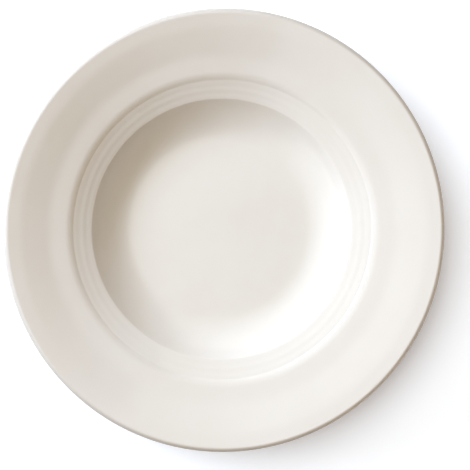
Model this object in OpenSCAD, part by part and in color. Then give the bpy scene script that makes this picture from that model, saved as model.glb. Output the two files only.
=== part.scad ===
// Rimmed soup plate: one fired clay body under two separate coats of glaze.
// Millimetres, +Z up. The origin is on the table, at the centre of the foot ring.
// The clay's section is a chain of straight lines with rounded corners, and so is the glaze's,
// a coat's thickness further out and with softer corners. Both are turned about the Z axis.

/* [Plate] */
// Diameter over the glazed lip
plate_d = 240; // [205:5:290]
// Height from the table to the top of the glazed lip
plate_h = 38; // [33:1:46]

/* [Rim] */
// Width of the rim, from the edge of the lip to the moulded step
rim_w = 36.5; // [26:0.5:48]
// How far the rim falls from the top of the lip to the moulded step
rim_drop = 11; // [6:0.5:14]
// Slope of the rim beside the moulded step, as a share of its mean slope
rim_inner_slope_share = 0.85; // [0.7:0.05:1]
// Slope of the rim beside the lip, as a share of its mean slope
rim_outer_slope_share = 0.95; // [0.8:0.05:1.1]
// Thickness of the clay at the lip
lip_t = 4.2; // [3:0.1:6]
// Rounding of the lip's upper edge
lip_top_r = 1.6; // [1:0.1:3]
// Rounding of the lip's lower edge
lip_under_r = 1.2; // [0.6:0.1:2]

/* [Shoulder] */
// Width of the moulded step, where the rim ends
step_w = 2; // [1.2:0.1:3]
// Depth of the moulded step
step_drop = 1.5; // [0.8:0.1:2]
// Width of the sloping band between the step and the edge of the well
band_w = 10.5; // [6:0.5:14]
// How far the band falls from the step to the edge of the well
band_drop = 4.4; // [2.6:0.2:5.4]

/* [Well] */
// Slope of the wall of the well, in degrees
wall_slope = 52; // [38:1:58]
// Radius of the bend between the floor and the wall
bend_r = 26; // [18:1:36]
// Thickness of the clay in the wall
wall_t = 4.6; // [3.5:0.1:6]
// Thickness of the clay in the floor
floor_t = 4.8; // [3.5:0.1:7]

/* [Foot] */
// Height of the foot ring on its outer side
foot_outer_h = 4.2; // [3:0.2:6]
// Height of the recess inside the foot ring
foot_inner_h = 3; // [2.4:0.2:4]
// Width of the foot ring where it stands on the table
foot_w = 3.4; // [2.4:0.2:6]
// Height of the bare clay at the bottom of the foot ring
foot_bare_h = 1; // [0.8:0.1:1.4]

/* [Glaze] */
// Thickness of the glaze on the open surfaces
glaze_t = 0.3; // [0.2:0.05:0.45]

/* [Hidden] */

// Roundings of the clay's other corners
well_edge_r = 1.2;
step_foot_r = 0.9;
step_top_r = 12;
rim_bend_r = 60;
back_bend_r = 16;
foot_top_r = 2.4;
foot_edge_r = 0.7;
recess_bend_r = 1.6;
// How far the sides of the foot ring lean in towards its bottom, in degrees
foot_draft = 8;
// The glaze's corners are softer than the clay's: what it adds to the radius of an outer corner
// and of an inner one, as shares of its thickness
edge_soften_share = 1.6;
pool_soften_share = 2;
// Where the rim's slope changes, as shares of its width from the step and from the lip
rim_inner_share = 0.3;
rim_outer_share = 0.25;
// A quarter of a turn, in degrees, from a direction to the one on its left
quarter = 90;
// The finest turn and the longest chord in an arc of the section
turn_step = 5;
chord = 1.3;

// Where two lines meet, each given by a point and the angle of its direction
function meeting(p, a, q, b) =
    let (gap = q - p)
    let (along = (gap.x * sin(b) - gap.y * cos(b)) / sin(b - a))
    p + along * [cos(a), sin(a)];

// A point moved by a length in the direction of an angle
function moved(p, length, a) = p + length * [cos(a), sin(a)];

// The direction of travel from one point to the next
function heading(p, q) = atan2(q.y - p.y, q.x - p.x);

// A turn brought between -180 and 180 degrees
function wrapped(a) = a - 360 * round(a / 360);

// How much of each side the rounding of a corner takes
function reach(radius, turn) = radius * tan(abs(turn) / 2);

// The turn at corner i, positive to the left, which is out of the clay
function turn_at(points, i) =
    wrapped(heading(points[i], points[i + 1]) - heading(points[i - 1], points[i]));

// How much corner i may take of its side towards another, where their roundings want more than it has
function allowed(points, radii, i, other) =
    let (own = reach(radii[i], turn_at(points, i)))
    let (next = radii[other] == 0 ? 0 : reach(radii[other], turn_at(points, other)))
    let (side = norm(points[other] - points[i]))
    own + next > side ? side * own / (own + next) : own;

// The arc that rounds corner i, as a list of points. A corner with no radius stays as it is.
function arc_at(points, radii, i) =
    radii[i] == 0 ? [points[i]] :
    let (turn = turn_at(points, i))
    let (before = heading(points[i - 1], points[i]))
    let (cut = min(allowed(points, radii, i, i - 1), allowed(points, radii, i, i + 1)))
    let (radius = cut / tan(abs(turn) / 2))
    let (side = -sign(turn))
    let (start = moved(points[i], -cut, before))
    let (centre = moved(start, -side * radius, before + quarter))
    let (arc_length = radius * abs(turn) * PI / 180)
    let (steps = ceil(max(abs(turn) / turn_step, arc_length / chord)))
    [for (k = [0 : steps]) moved(centre, side * radius, before + quarter + turn * k / steps)];

// All the points of a chain with its corners rounded, from corner a to corner b
function rounded(points, radii, a, b) = [for (i = [a : b]) each arc_at(points, radii, i)];

// A chain moved out by the glaze's thickness. Its two ends move straight along the Z axis.
function glazed(points) =
    let (last = len(points) - 1)
    [for (i = [0 : last])
        i == 0 ? points[0] + [0, glaze_t] :
        i == last ? points[last] - [0, glaze_t] :
        let (turn = turn_at(points, i))
        let (middle = heading(points[i - 1], points[i]) + quarter + turn / 2)
        moved(points[i], glaze_t / cos(turn / 2), middle)];

// The glaze's radii: more than the clay's at every corner, so its surface is softer
function softened(points, radii) =
    [for (i = [0 : len(radii) - 1])
        radii[i] == 0 ? 0 :
        radii[i] + glaze_t * (turn_at(points, i) < 0 ? edge_soften_share : pool_soften_share)];

// The face, from the floor of the well to the lip
clay_r = plate_d / 2 - glaze_t;
floor_z = foot_inner_h + floor_t;
rim_mean_slope = atan(rim_drop / rim_w);
rim_inner_slope = rim_mean_slope * rim_inner_slope_share;
rim_outer_slope = rim_mean_slope * rim_outer_slope_share;
step_top = [plate_d / 2 - rim_w, plate_h - rim_drop];
step_foot = step_top - [step_w, step_drop];
well_edge = step_foot - [band_w, band_drop];
band_slope = heading(well_edge, step_foot);
floor_centre = [0, floor_z];
wall_foot = meeting(floor_centre, 0, well_edge, wall_slope);
lip_rise = lip_top_r * (1 / cos(rim_outer_slope) + tan(rim_outer_slope) - 1);
lip_top = [clay_r, plate_h - glaze_t + lip_rise];
rim_inner_bend = step_top + rim_w * rim_inner_share * [1, tan(rim_inner_slope)];
rim_outer_bend = lip_top - rim_w * rim_outer_share * [1, tan(rim_outer_slope)];

// The back, from the lip to the foot ring. Each stretch lies a wall's thickness under the face.
rim_slope = heading(step_top, lip_top);
under_lip = moved(lip_top, lip_t, rim_outer_slope - quarter);
under_band = moved(step_foot, wall_t, band_slope - quarter);
under_wall = moved(well_edge, wall_t, wall_slope - quarter);
lip_bottom = meeting(under_lip, rim_slope, lip_top, quarter);
back_rim_bend = meeting(under_lip, rim_slope, under_band, band_slope);
back_wall_bend = meeting(under_band, band_slope, under_wall, wall_slope);

// The foot ring, which leaves the back where that has come down to the ring's height
foot_outer_top = meeting([0, foot_outer_h], 0, under_wall, wall_slope);
foot_outer = foot_outer_top - foot_outer_h * [tan(foot_draft), 1];
foot_inner = foot_outer - [foot_w, 0];
foot_inner_top = foot_inner + foot_inner_h * [-tan(foot_draft), 1];
outer_glaze_line = foot_outer + foot_bare_h * [tan(foot_draft), 1];
inner_glaze_line = foot_inner + foot_bare_h * [-tan(foot_draft), 1];

// The corners of the clay's section in order: along the face, round the lip, along the back
// and round the foot ring, with the radius of each. The glaze lines are corners with no turn.
corners = [
    [floor_centre, 0],
    [wall_foot, bend_r],
    [well_edge, well_edge_r],
    [step_foot, step_foot_r],
    [step_top, step_top_r],
    [rim_inner_bend, rim_bend_r],
    [rim_outer_bend, rim_bend_r],
    [lip_top, lip_top_r],
    [lip_bottom, lip_under_r],
    [back_rim_bend, back_bend_r],
    [back_wall_bend, back_bend_r],
    [foot_outer_top, foot_top_r],
    [outer_glaze_line, 0],
    [foot_outer, foot_edge_r],
    [foot_inner, foot_edge_r],
    [inner_glaze_line, 0],
    [foot_inner_top, recess_bend_r],
    [[0, foot_inner_h], 0]
];
last_corner = len(corners) - 1;
outer_line = last_corner - 5;
inner_line = last_corner - 2;
clay_points = [for (c = corners) c[0]];
clay_radii = [for (c = corners) c[1]];
glaze_points = glazed(clay_points);
glaze_radii = softened(clay_points, clay_radii);

// A list in the opposite order
function reversed(list) = [for (i = [len(list) - 1 : -1 : 0]) list[i]];

// A coat of glaze on the clay from corner a to corner b, turned about the Z axis
module glaze(a, b) {
    outside = rounded(glaze_points, glaze_radii, a, b);
    against_clay = rounded(clay_points, clay_radii, a, b);
    color([0.93, 0.91, 0.88])
        rotate_extrude($fn = 180)
            polygon(concat(outside, reversed(against_clay)));
}

// The fired body: rim, shoulder, well and foot ring are one piece of clay
module clay_body() {
    color([0.87, 0.83, 0.76])
        rotate_extrude($fn = 180)
            polygon(rounded(clay_points, clay_radii, 0, last_corner));
}

// The glaze over the face, the lip and the back, down to the bare clay of the foot ring
module glaze_coat() {
    glaze(0, outer_line);
}

// The glaze in the recess under the floor, inside the foot ring
module foot_recess_glaze() {
    glaze(inner_line, last_corner);
}

clay_body();
glaze_coat();
foot_recess_glaze();
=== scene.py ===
"""Looks of the rimmed soup plate: a pale glazed plate on a white table, seen almost from above.

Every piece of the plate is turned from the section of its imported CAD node, with more sides than the node has
and with the small unevenness of a thrown and dipped pot. Lengths are in metres, angles in degrees.
The patterns' spots are given per metre, and the lamps' power in watts.
"""

import math

import bpy
import numpy as np
from mathutils import Matrix, Vector

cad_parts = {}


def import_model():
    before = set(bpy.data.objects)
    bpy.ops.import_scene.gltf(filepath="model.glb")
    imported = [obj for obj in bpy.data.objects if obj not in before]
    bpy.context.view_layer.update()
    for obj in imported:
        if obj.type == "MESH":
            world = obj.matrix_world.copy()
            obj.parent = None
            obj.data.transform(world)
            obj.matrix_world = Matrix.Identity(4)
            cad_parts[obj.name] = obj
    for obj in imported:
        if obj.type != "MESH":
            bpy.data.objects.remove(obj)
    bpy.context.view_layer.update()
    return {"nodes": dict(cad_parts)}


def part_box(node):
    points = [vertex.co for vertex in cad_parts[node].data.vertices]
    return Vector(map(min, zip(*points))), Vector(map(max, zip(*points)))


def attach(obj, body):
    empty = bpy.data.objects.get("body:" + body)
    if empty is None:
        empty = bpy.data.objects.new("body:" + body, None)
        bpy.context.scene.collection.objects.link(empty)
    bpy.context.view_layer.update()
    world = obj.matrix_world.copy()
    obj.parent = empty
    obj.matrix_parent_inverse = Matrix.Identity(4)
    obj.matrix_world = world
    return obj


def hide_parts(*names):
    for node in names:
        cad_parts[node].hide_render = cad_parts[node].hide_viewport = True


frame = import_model()

# The plate's own sizes, from the frame
PLATE_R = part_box("glaze_coat")[1].x
PLATE_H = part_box("glaze_coat")[1].z

# The turned meshes: their sides, the length of the stretch cut off at each end of a straight one, the longest
# stretches over the ridges and near the axis, and how near two rings lie that count as one
SIDES = 288
END_STRETCH = 0.0006
RIDGE_STRETCH = 0.0004
AXIS_STRETCH = 0.0036
SAME_RING = 0.000008

# Faint ridges left by the throwing, on the band between the moulded step and the well: their inner and outer
# radius, a radius where the band is at its flattest, the spacing, and how much they change the slope
RIDGES_FROM = PLATE_R - 0.0484
RIDGES_TO = PLATE_R - 0.0390
RIDGE_FLAT_AT = PLATE_R - 0.0473
RIDGE_SPACING = 0.00425
RIDGE_SLOPE = 3.2

# The glaze: its colours where it lies thick and where it is palest, and its darker colour over the lip, where
# the glaze is thinner and where the colour is also painted shade on the edge; then how far in from the edge
# that darkening starts and is full. Then come its clouds, gloss, waves and pores.
GLAZE_DEEP = (0.804, 0.766, 0.694)
GLAZE_PALE = (0.826, 0.795, 0.730)
LIP_THIN_GLAZE_AND_SHADE = (0.62, 0.585, 0.525)
LIP_DARKENING_FROM = 0.0030
LIP_DARKENING_FULL = 0.0006
CLOUD_SPOTS = 26
SHEEN_SPOTS = 60
GLAZE_ROUGHNESS = (0.10, 0.16)
GLAZE_IOR = 1.5
WAVE_SPOTS = 45
WAVE_HEIGHT = 0.00012
PORE_SPOTS = 420
PORE_HEIGHT = 0.00001

# The bare clay: its colours, from the specks to the palest grains, with their places in the grain's pattern
CLAY_GRAIN = [(0.3, (0.60, 0.52, 0.42)), (0.5, (0.72, 0.65, 0.54)), (0.72, (0.78, 0.72, 0.62))]
GRAIN_SPOTS = 900
GRAIN_HEIGHT = 0.00006
CLAY_ROUGHNESS = (0.75, 0.95)
CLAY_IOR = 1.45

# The table: its mesh, its colour, and the lift that is seen on it. The lift's centre lies off the plate's, on
# the side of the shadow. The lift grows between two distances from there, in steps that are pairs of a share
# of the way and a level.
TABLE_SIDE = 6.0
TABLE_CELLS = 12
TABLE_WHITE = (0.88, 0.88, 0.88)
LIFT_CENTRE = (0.0121, -0.0070, 0)
LIFT_FROM = PLATE_R - 0.011
LIFT_TO = PLATE_R + 0.029
LIFT_TINT = (0.79, 0.885, 1.0)
LIFT = [
    (0, 0.14), (0.06, 0.25), (0.125, 0.32), (0.20, 0.42), (0.30, 0.51),
    (0.40, 0.575), (0.53, 0.64), (0.70, 0.69), (1, 0.72),
]

# The camera. The photograph is 470 pixels square, and the rim's centre lies left of and above its middle.
PHOTO_PX = 470
RIM_CENTRE_PX = (225.2, 230.8)
RIM_PX_PER_M = 1852.8
CAMERA_TILT = 7.0
CAMERA_AZIMUTH = 156
CAMERA_DISTANCE = 3.0
SENSOR = 0.036
MM_PER_M = 1000

# The lamps' distance from the middle of the plate's foot
LAMP_DISTANCE = 0.9


# Sections and turned meshes

def section_of(node):
    """The section of a turned CAD node: its rings in order as (radius, height), from one end to the other."""
    mesh = frame["nodes"][node].data
    co = np.zeros(len(mesh.vertices) * 3)
    mesh.vertices.foreach_get("co", co)
    co = co.reshape(-1, 3)
    spots = np.round(np.column_stack([np.hypot(co[:, 0], co[:, 1]), co[:, 2]]), 6)
    spots, ring = np.unique(spots, axis=0, return_inverse=True)
    ring = ring.reshape(-1)
    same = list(range(len(spots)))
    for i in range(len(spots)):
        near = np.hypot(*(spots[:i] - spots[i]).T) < SAME_RING
        if near.any():
            same[i] = same[int(np.argmax(near))]
    ring = np.array(same)[ring]
    ends = np.zeros(len(mesh.edges) * 2, dtype=int)
    mesh.edges.foreach_get("vertices", ends)
    beside = {}
    for a, b in np.unique(ring[ends].reshape(-1, 2), axis=0):
        if a != b:
            beside.setdefault(int(a), set()).add(int(b))
            beside.setdefault(int(b), set()).add(int(a))
    tips = sorted((i for i in beside if len(beside[i]) == 1), key=lambda i: -spots[i][1])
    chain = [tips[0]]
    while len(chain) < len(beside):
        onward = beside[chain[-1]] - set(chain)
        chain.append(onward.pop())
    return [tuple(spots[i]) for i in chain]


def widest(section):
    """The place in the section of its outermost point. The face comes before it, and the back after it."""
    return max(range(len(section)), key=lambda i: section[i][0])


def refined(section):
    """The section with its long straight stretches cut: into short ones on the face where the ridges lie, and
    elsewhere close to both ends, so that smooth shading bends the light only there."""
    lip = widest(section)
    points = [section[0]]
    for i, ((r0, z0), (r1, z1)) in enumerate(zip(section, section[1:])):
        length = math.hypot(r1 - r0, z1 - z0)
        shares = [1]
        if i < lip and RIDGES_FROM < (r0 + r1) / 2 < RIDGES_TO:
            cuts = math.ceil(length / RIDGE_STRETCH)
            shares = [k / cuts for k in range(1, cuts + 1)]
        elif length > 4 * END_STRETCH:
            shares = [END_STRETCH / length, 1 - END_STRETCH / length, 1]
        points += [(r0 + (r1 - r0) * share, z0 + (z1 - z0) * share) for share in shares]
    return points


def to_axis(ring, cuts):
    """Points from a ring in to just before the axis, at one height: the well's floor or the recess's top."""
    radius, height = ring
    return [(radius * (1 - k / cuts), height) for k in range(1, cuts)]


def ridge(radius):
    """How far the throwing ridges lift the surface at a radius."""
    if not RIDGES_FROM < radius < RIDGES_TO:
        return 0.0
    share = (radius - RIDGES_FROM) / (RIDGES_TO - RIDGES_FROM)
    height = math.tan(math.radians(RIDGE_SLOPE)) * RIDGE_SPACING / math.tau
    fade = math.sqrt(math.sin(math.pi * share))
    return height * fade * math.sin(math.tau * (RIDGE_FLAT_AT - radius) / RIDGE_SPACING)


def ridged(section):
    """The section with the ridges on its face, which comes before the lip."""
    lip = widest(section)
    return [(r, z + ridge(r)) if i < lip else (r, z) for i, (r, z) in enumerate(section)]


def turned(name, section):
    """A closed mesh: the section turned about the Z axis, with a vertex at the axis under each end."""
    inner_cuts = math.ceil(section[0][0] / AXIS_STRETCH)
    outer_cuts = math.ceil(section[-1][0] / AXIS_STRETCH)
    rings = to_axis(section[0], inner_cuts)[::-1]
    rings += ridged(refined(section))
    rings += to_axis(section[-1], outer_cuts)
    turns = np.arange(SIDES) * math.tau / SIDES
    rz = np.array(rings)
    co = np.empty((len(rings), SIDES, 3))
    co[:, :, 0] = rz[:, :1] * np.cos(turns)
    co[:, :, 1] = rz[:, :1] * np.sin(turns)
    co[:, :, 2] = rz[:, 1:]
    co = co.reshape(-1, 3)
    first_tip, last_tip = len(co), len(co) + 1
    co = np.vstack([co, [0, 0, section[0][1]], [0, 0, section[-1][1]]])
    side = np.arange(SIDES)
    next_side = (side + 1) % SIDES
    quads = np.stack([side, side + SIDES, next_side + SIDES, next_side], axis=1)
    bands = (quads + SIDES * np.arange(len(rings) - 1)[:, None, None]).reshape(-1, 4)
    last = (len(rings) - 1) * SIDES
    first_fan = [(first_tip, j, k) for j, k in zip(side.tolist(), next_side.tolist())]
    last_fan = [(last_tip, last + k, last + j) for j, k in zip(side.tolist(), next_side.tolist())]
    mesh = bpy.data.meshes.new(name)
    mesh.from_pydata(co.tolist(), [], bands.tolist() + first_fan + last_fan)
    mesh.polygons.foreach_set("use_smooth", [True] * len(mesh.polygons))
    mesh.update()
    piece = bpy.data.objects.new(name, mesh)
    bpy.context.scene.collection.objects.link(piece)
    return piece


# Materials

def new_material(name):
    """An empty node material with its shader and output, and the coordinates that its patterns use."""
    material = bpy.data.materials.new(name)
    material.use_nodes = True
    nodes = material.node_tree.nodes
    nodes.clear()
    shader = nodes.new("ShaderNodeBsdfPrincipled")
    out = nodes.new("ShaderNodeOutputMaterial")
    place = nodes.new("ShaderNodeTexCoord")
    material.node_tree.links.new(shader.outputs["BSDF"], out.inputs["Surface"])
    return material, shader, place.outputs["Object"]


def noise(material, place, scale, detail, roughness=0.5):
    """A noise pattern's value over the object. Scale is in spots per metre."""
    node = material.node_tree.nodes.new("ShaderNodeTexNoise")
    node.inputs["Scale"].default_value = scale
    node.inputs["Detail"].default_value = detail
    node.inputs["Roughness"].default_value = roughness
    material.node_tree.links.new(place, node.inputs["Vector"])
    return node.outputs["Fac"]


def ramp(material, value, stops):
    """A colour ramp with the given (place, colour) stops."""
    node = material.node_tree.nodes.new("ShaderNodeValToRGB")
    bar = node.color_ramp
    while len(bar.elements) < len(stops):
        bar.elements.new(0.5)
    for element, (spot, colour) in zip(bar.elements, stops):
        element.position = spot
        element.color = (*colour, 1)
    material.node_tree.links.new(value, node.inputs["Fac"])
    return node.outputs["Color"]


def remapped(material, value, low, high):
    """A 0 to 1 value stretched between two numbers."""
    node = material.node_tree.nodes.new("ShaderNodeMapRange")
    node.inputs["To Min"].default_value = low
    node.inputs["To Max"].default_value = high
    material.node_tree.links.new(value, node.inputs["Value"])
    return node.outputs["Result"]


def bump(material, shader, heights):
    """Bumps in the shader's normal, from (value, height in metres) pairs, the coarsest first."""
    nodes, links = material.node_tree.nodes, material.node_tree.links
    normal = None
    for value, height in heights:
        node = nodes.new("ShaderNodeBump")
        node.inputs["Strength"].default_value = 1
        node.inputs["Distance"].default_value = height
        links.new(value, node.inputs["Height"])
        if normal is not None:
            links.new(normal, node.inputs["Normal"])
        normal = node.outputs["Normal"]
    links.new(normal, shader.inputs["Normal"])


def radius_band(material, place, start, end, interpolation="LINEAR"):
    """0 up to one distance from the plate's axis, rising to 1 at another."""
    nodes, links = material.node_tree.nodes, material.node_tree.links
    flat = nodes.new("ShaderNodeVectorMath")
    flat.operation = "MULTIPLY"
    flat.inputs[1].default_value = (1, 1, 0)
    radius = nodes.new("ShaderNodeVectorMath")
    radius.operation = "LENGTH"
    band = nodes.new("ShaderNodeMapRange")
    band.interpolation_type = interpolation
    band.inputs["From Min"].default_value = start
    band.inputs["From Max"].default_value = end
    links.new(place, flat.inputs[0])
    links.new(flat.outputs[0], radius.inputs[0])
    links.new(radius.outputs["Value"], band.inputs["Value"])
    return band.outputs["Result"]


def glaze_material():
    """A thick, pale, warm glaze: clouded a little, glossy, with the soft waviness of a dipped coat. It is
    darker over the lip, where it is thinner and where painted shade on the edge is drawn into its colour.
    """
    material, shader, place = new_material("plate_glaze")
    links = material.node_tree.links
    clouds = ramp(material, noise(material, place, CLOUD_SPOTS, 4), [(0.3, GLAZE_DEEP), (0.7, GLAZE_PALE)])
    # Over the lip the colour turns darker: the glaze is thinner there, and the darkening is also painted shade
    # on the edge.
    lip_thin_glaze_and_shade = material.node_tree.nodes.new("ShaderNodeMixRGB")
    lip_thin_glaze_and_shade.inputs["Color2"].default_value = (*LIP_THIN_GLAZE_AND_SHADE, 1)
    lip_darkening_mask = radius_band(material, place, PLATE_R - LIP_DARKENING_FROM, PLATE_R - LIP_DARKENING_FULL, "SMOOTHSTEP")
    links.new(lip_darkening_mask, lip_thin_glaze_and_shade.inputs["Fac"])
    links.new(clouds, lip_thin_glaze_and_shade.inputs["Color1"])
    links.new(lip_thin_glaze_and_shade.outputs["Color"], shader.inputs["Base Color"])
    sheen = noise(material, place, SHEEN_SPOTS, 3)
    links.new(remapped(material, sheen, *GLAZE_ROUGHNESS), shader.inputs["Roughness"])
    shader.inputs["IOR"].default_value = GLAZE_IOR
    waves = noise(material, place, WAVE_SPOTS, 2)
    pores = noise(material, place, PORE_SPOTS, 2)
    bump(material, shader, [(waves, WAVE_HEIGHT), (pores, PORE_HEIGHT)])
    return material


def clay_material():
    """The bare fired clay of the foot ring: matt, warm, with a fine grain and a few darker specks."""
    material, shader, place = new_material("foot_clay")
    links = material.node_tree.links
    grain = noise(material, place, GRAIN_SPOTS, 6, 0.7)
    links.new(ramp(material, grain, CLAY_GRAIN), shader.inputs["Base Color"])
    links.new(remapped(material, grain, *CLAY_ROUGHNESS), shader.inputs["Roughness"])
    shader.inputs["IOR"].default_value = CLAY_IOR
    bump(material, shader, [(grain, GRAIN_HEIGHT)])
    return material


def seen_or_mirrored(nodes, links):
    """1 for what the camera sees, straight on, mirrored or through glass, and 0 for light on a surface."""
    path = nodes.new("ShaderNodeLightPath")
    seen = path.outputs["Is Camera Ray"]
    for ray in ("Is Glossy Ray", "Is Transmission Ray"):
        either = nodes.new("ShaderNodeMath")
        either.operation = "MAXIMUM"
        links.new(seen, either.inputs[0])
        links.new(path.outputs[ray], either.inputs[1])
        seen = either.outputs[0]
    return seen


def table_material():
    """A plain white table. It is seen lighter than it is lit, all the more away from the plate, so that it
    turns white there and keeps the plate's shadow close by, as in the photograph."""
    material = bpy.data.materials.new("table")
    material.use_nodes = True
    nodes, links = material.node_tree.nodes, material.node_tree.links
    nodes.clear()
    out = nodes.new("ShaderNodeOutputMaterial")
    surface = nodes.new("ShaderNodeBsdfDiffuse")
    surface.inputs["Color"].default_value = (*TABLE_WHITE, 1)
    place = nodes.new("ShaderNodeTexCoord").outputs["Object"]
    shifted = nodes.new("ShaderNodeVectorMath")
    shifted.operation = "SUBTRACT"
    shifted.inputs[1].default_value = LIFT_CENTRE
    links.new(place, shifted.inputs[0])
    away = radius_band(material, shifted.outputs[0], LIFT_FROM, LIFT_TO)
    stops = [(spot, tuple(level * tint for tint in LIFT_TINT)) for spot, level in LIFT]
    lift = nodes.new("ShaderNodeEmission")
    links.new(ramp(material, away, stops), lift.inputs["Color"])
    both = nodes.new("ShaderNodeAddShader")
    links.new(seen_or_mirrored(nodes, links), lift.inputs["Strength"])
    links.new(surface.outputs[0], both.inputs[0])
    links.new(lift.outputs[0], both.inputs[1])
    links.new(both.outputs[0], out.inputs["Surface"])
    return material


# The plate

def plate_piece(name, node, material):
    """One turned piece that stands for its CAD node, with its material in a slot."""
    piece = turned(name, section_of(node))
    piece.data.materials.append(material)
    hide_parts(node)
    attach(piece, "root")
    return piece


glaze = glaze_material()
clay = clay_material()
plate_piece("fired_clay", "clay_body", clay)
plate_piece("face_and_back_glaze", "glaze_coat", glaze)
plate_piece("recess_glaze", "foot_recess_glaze", glaze)


# The table, the lights and the camera

def table():
    """A flat square of table under the foot ring."""
    step = TABLE_SIDE / TABLE_CELLS
    across = [-TABLE_SIDE / 2 + step * k for k in range(TABLE_CELLS + 1)]
    row = TABLE_CELLS + 1
    co = [(x, y, 0) for y in across for x in across]
    faces = [(j * row + i, j * row + i + 1, (j + 1) * row + i + 1, (j + 1) * row + i)
             for j in range(TABLE_CELLS) for i in range(TABLE_CELLS)]
    mesh = bpy.data.meshes.new("table")
    mesh.from_pydata(co, [], faces)
    mesh.materials.append(table_material())
    top = bpy.data.objects.new("table", mesh)
    bpy.context.scene.collection.objects.link(top)


def direction(azimuth, elevation):
    """The unit vector towards an azimuth and an elevation."""
    a, e = math.radians(azimuth), math.radians(elevation)
    return Vector((math.cos(e) * math.cos(a), math.cos(e) * math.sin(a), math.sin(e)))


def soft_light(name, azimuth, elevation, width, height, power, colour):
    """A rectangular soft box that faces the plate."""
    lamp = bpy.data.lights.new(name, "AREA")
    lamp.shape = "RECTANGLE"
    lamp.size, lamp.size_y = width, height
    lamp.energy = power
    lamp.color = colour
    towards = direction(azimuth, elevation)
    box = bpy.data.objects.new(name, lamp)
    box.location = towards * LAMP_DISTANCE
    box.rotation_euler = towards.to_track_quat("Z", "Y").to_euler()
    bpy.context.scene.collection.objects.link(box)


def world(colour, strength):
    """A dim even light from the room, which is white where it is seen or mirrored."""
    room = bpy.data.worlds.new("room")
    room.use_nodes = True
    nodes, links = room.node_tree.nodes, room.node_tree.links
    nodes.clear()
    lit = nodes.new("ShaderNodeBackground")
    lit.inputs["Color"].default_value = (*colour, 1)
    lit.inputs["Strength"].default_value = strength
    seen = nodes.new("ShaderNodeBackground")
    seen.inputs["Color"].default_value = (1, 1, 1, 1)
    choice = nodes.new("ShaderNodeMixShader")
    out = nodes.new("ShaderNodeOutputWorld")
    links.new(seen_or_mirrored(nodes, links), choice.inputs[0])
    links.new(lit.outputs[0], choice.inputs[1])
    links.new(seen.outputs[0], choice.inputs[2])
    links.new(choice.outputs[0], out.inputs["Surface"])
    bpy.context.scene.world = room


def camera():
    """The photograph's camera: almost overhead, turned so that the rim's centre lands where it does there."""
    back = direction(CAMERA_AZIMUTH, 90 - CAMERA_TILT)
    rim_centre = Vector((0, 0, PLATE_H))
    right = Vector((0, 1, 0)).cross(back).normalized()
    up = back.cross(right)
    focal_px = RIM_PX_PER_M * CAMERA_DISTANCE
    left_of_middle = (PHOTO_PX / 2 - RIM_CENTRE_PX[0]) / focal_px
    over_middle = (PHOTO_PX / 2 - RIM_CENTRE_PX[1]) / focal_px
    aim = (right * left_of_middle - up * over_middle - back).normalized()
    right = Vector((0, 1, 0)).cross(-aim).normalized()
    up = (-aim).cross(right)
    lens = bpy.data.cameras.new("photo_camera")
    lens.sensor_width = SENSOR * MM_PER_M
    lens.lens = focal_px * SENSOR * MM_PER_M / PHOTO_PX
    lens.clip_start, lens.clip_end = 0.05, 50
    eye = bpy.data.objects.new("photo_camera", lens)
    turn = Matrix((right, up, -aim)).transposed().to_4x4()
    eye.matrix_world = Matrix.Translation(rim_centre + back * CAMERA_DISTANCE) @ turn
    bpy.context.scene.collection.objects.link(eye)
    bpy.context.scene.camera = eye


table()
soft_light("key", 149, 28, 1.15, 0.29, 13.05, (0.68, 0.795, 1.0))
soft_light("overhead", 156, 76, 2.4, 0.89, 6.15, (0.985, 1.0, 0.855))
soft_light("low_left", 211, 20, 0.7, 0.5, 0.75, (1.0, 1.0, 0.8))
soft_light("low_right", 87, 20, 0.7, 0.5, 0.85, (1.0, 1.0, 0.8))
soft_light("far_side", 336, 4, 1.2, 0.1, 1.8, (1.0, 0.9, 0.7))
world((1.0, 0.27, 0.02), 0.11)
camera()
bpy.context.scene.view_settings.view_transform = "Standard"
